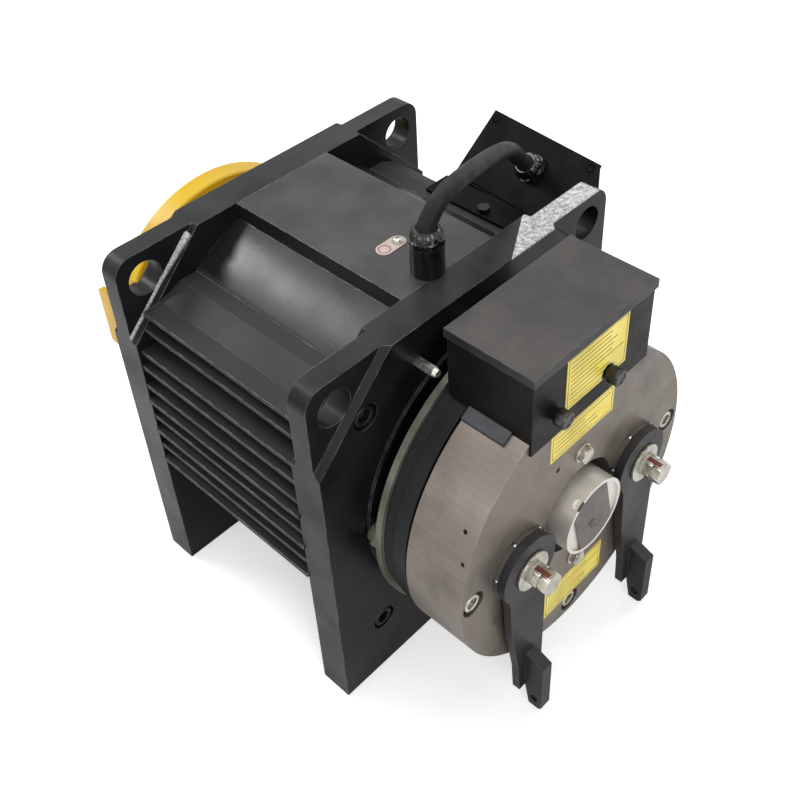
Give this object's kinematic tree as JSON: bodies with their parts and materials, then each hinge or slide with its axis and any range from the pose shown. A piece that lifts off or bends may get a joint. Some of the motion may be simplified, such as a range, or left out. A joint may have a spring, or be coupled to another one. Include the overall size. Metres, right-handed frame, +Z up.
{
  "type": "elevator traction machine",
  "caption": "Gearless elevator traction machine with finned motor between end plates, rope sheave, spring-applied disc brake, hand-release levers and terminal box.",
  "frame": {"origin": "midway between the two end plates, under the shaft axis, on the plane the feet stand on", "axes": "+Z up; the shaft runs along Y with the brake at -Y and the rope sheave at +Y; +X is towards the terminal box"},
  "size_m": [0.4987, 0.6245, 0.5489],
  "materials": {
    "frame_paint": "satin black paint over cast iron",
    "stator_cast": "grey-black paint over a sand-cast housing",
    "core_steel": "varnished laminations",
    "copper_wire": "varnished copper wire",
    "black_screw": "black oxide",
    "zinc": "zinc plate",
    "bearing_steel": "ground",
    "machined_steel": "turned",
    "magnet": "nickel plate",
    "tag_metal": "pale red tag with a plated screw",
    "gland_black": "moulded black",
    "cable_jacket": "matt black jacket",
    "box_black": "smooth black powder coat",
    "lid_screw": "blackened",
    "block_plastic": "moulded",
    "yellow_paint": "gloss yellow paint",
    "flange_zinc": "yellow-white passivated zinc",
    "seal_rubber": "matt",
    "magnet_grey": "dark grey phosphate",
    "spring_steel": "oiled",
    "label_yellow": "printed film",
    "seal_grey": "smooth bead",
    "friction_lining": "steel core with matt linings",
    "cap_steel": "bright turned",
    "armature_black": "black nitrided",
    "lever_black": "satin black paint"
  },
  "bodies": {
    "machine_frame": {"near_plate": "frame_paint", "far_plate": "frame_paint", "stator_shell": "stator_cast", "stator_core": "core_steel", "stator_windings": "copper_wire", "tie_screws": "black_screw", "far_frame_screws": "black_screw", "bearing_outer_rings": "bearing_steel", "bearing_balls": "bearing_steel", "near_circlip": "black_screw", "far_bearing_cover": "frame_paint", "far_cover_screws": "zinc", "earth_tag": "tag_metal", "clip_post": "zinc", "gland_bodies": "gland_black", "gland_nuts": "gland_black", "cable": "cable_jacket", "terminal_box": "box_black", "terminal_lid": "box_black", "terminal_lid_screws": "lid_screw", "terminal_block": "block_plastic", "terminal_bracket": "frame_paint", "rope_guard": "yellow_paint", "bracket_screws": "zinc", "brake_spacers": "zinc", "brake_screws": "zinc", "friction_flange": "flange_zinc", "dust_ring": "seal_rubber", "magnet_body": "magnet_grey", "brake_coil": "copper_wire", "brake_springs": "spring_steel", "face_screws": "zinc", "release_rings": "machined_steel", "release_balls": "bearing_steel", "face_labels": "label_yellow", "brake_box_tray": "box_black", "brake_box_cover": "box_black", "brake_box_lid": "box_black", "brake_box_seal": "seal_grey", "thumb_screws": "gland_black", "brake_rectifier": "block_plastic", "box_label": "label_yellow"},
    "shaft_assembly": {"shaft": "machined_steel", "bearing_inner_rings": "bearing_steel", "rotor_hub": "machined_steel", "rotor_magnets": "magnet", "shaft_keys": "machined_steel", "sheave": "yellow_paint", "sheave_retainer": "black_screw", "sheave_bolts": "black_screw", "friction_hub": "machined_steel", "friction_disc": "friction_lining", "shaft_cap": "cap_steel", "cap_panel": "cap_steel"},
    "brake_armature": {"armature_plate": "armature_black", "release_bolts": "zinc", "release_nuts": "zinc"},
    "left_release": {"lever_left": "lever_black"},
    "right_release": {"lever_right": "lever_black"}
  },
  "joints": [
    {"name": "shaft_spin", "type": "hinge", "parent": "machine_frame", "child": "shaft_assembly", "pos_m": [0, 0, 0.238], "axis": [0, 1, 0], "continuous": true},
    {"name": "left_release_turn", "type": "hinge", "parent": "machine_frame", "child": "left_release", "pos_m": [-0.0935, -0.3, 0.238], "axis": [0, -1, 0], "range_deg": [0, 8], "stiffness_Nm_per_rad": 6, "springref_deg": -5.73},
    {"name": "right_release_turn", "type": "hinge", "parent": "machine_frame", "child": "right_release", "pos_m": [0.0935, -0.3, 0.238], "axis": [0, 1, 0], "range_deg": [0, 8]},
    {"name": "armature_lift", "type": "slide", "parent": "machine_frame", "child": "brake_armature", "axis": [0, -1, 0], "range_m": [0, 0.003], "stiffness_N_per_m": 12000, "springref_m": -0.006, "deforming": ["brake_springs"]}
  ],
  "couplings": [
    {"joint": "right_release_turn", "follows": "left_release_turn", "ratio": 1},
    {"joint": "armature_lift", "follows": "left_release_turn", "m_per_rad": 0.02}
  ]
}
